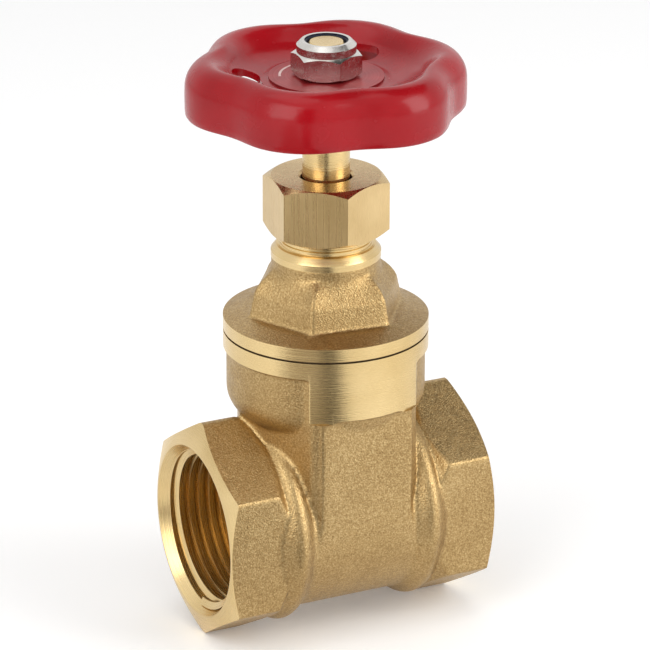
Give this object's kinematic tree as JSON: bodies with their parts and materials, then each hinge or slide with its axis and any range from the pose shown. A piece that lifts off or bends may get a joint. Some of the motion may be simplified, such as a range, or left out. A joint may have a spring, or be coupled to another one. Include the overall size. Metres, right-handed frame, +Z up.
{
  "type": "gate valve",
  "caption": "Brass gate valve with hexagonal female-threaded ends, screwed bonnet, gland nut and lobed red handwheel on a non-rising stem.",
  "frame": {"origin": "centre of the inlet end face, on the bore axis", "axes": "+X along the bore from inlet to outlet, +Z up along the stem towards the handwheel, the stem axis at half the face-to-face length"},
  "size_m": [0.0605, 0.0564, 0.1254],
  "materials": {
    "forged_brass": "shot-blasted",
    "machined_brass": "turned",
    "fibre_gasket": "fibre",
    "spring_steel": "oiled",
    "seal_white": "moulded",
    "packing_graphite": "pressed",
    "red_enamel": "gloss enamel",
    "red_plate": "satin lacquer",
    "bright_steel": "bright",
    "blue_insert": "moulded"
  },
  "bodies": {
    "valve": {"valve_body": "forged_brass", "bonnet": "forged_brass", "bonnet_gasket": "fibre_gasket", "stem_retaining_ring": "spring_steel", "lower_thrust_washer": "seal_white", "upper_thrust_washer": "seal_white", "packing_seat_washer": "machined_brass", "packing_ring_1": "packing_graphite", "packing_ring_2": "packing_graphite", "packing_ring_3": "packing_graphite", "gland_follower": "machined_brass", "gland_nut": "machined_brass"},
    "spindle": {"stem": "machined_brass", "handwheel": "red_enamel", "id_plate": "red_plate", "lock_nut": "bright_steel", "lock_nut_insert": "blue_insert"},
    "wedge": {"gate_wedge": "machined_brass"}
  },
  "joints": [
    {"name": "handwheel_turn", "type": "hinge", "parent": "valve", "child": "spindle", "pos_m": [0.03025, 0, 0], "axis": [0, 0, 1], "range_deg": [0, 3744.1]},
    {"name": "wedge_lift", "type": "slide", "parent": "valve", "child": "wedge", "axis": [0, 0, 1], "range_m": [0, 0.026]}
  ],
  "couplings": [
    {"joint": "handwheel_turn", "follows": "wedge_lift", "rad_per_m": 2513.3}
  ]
}
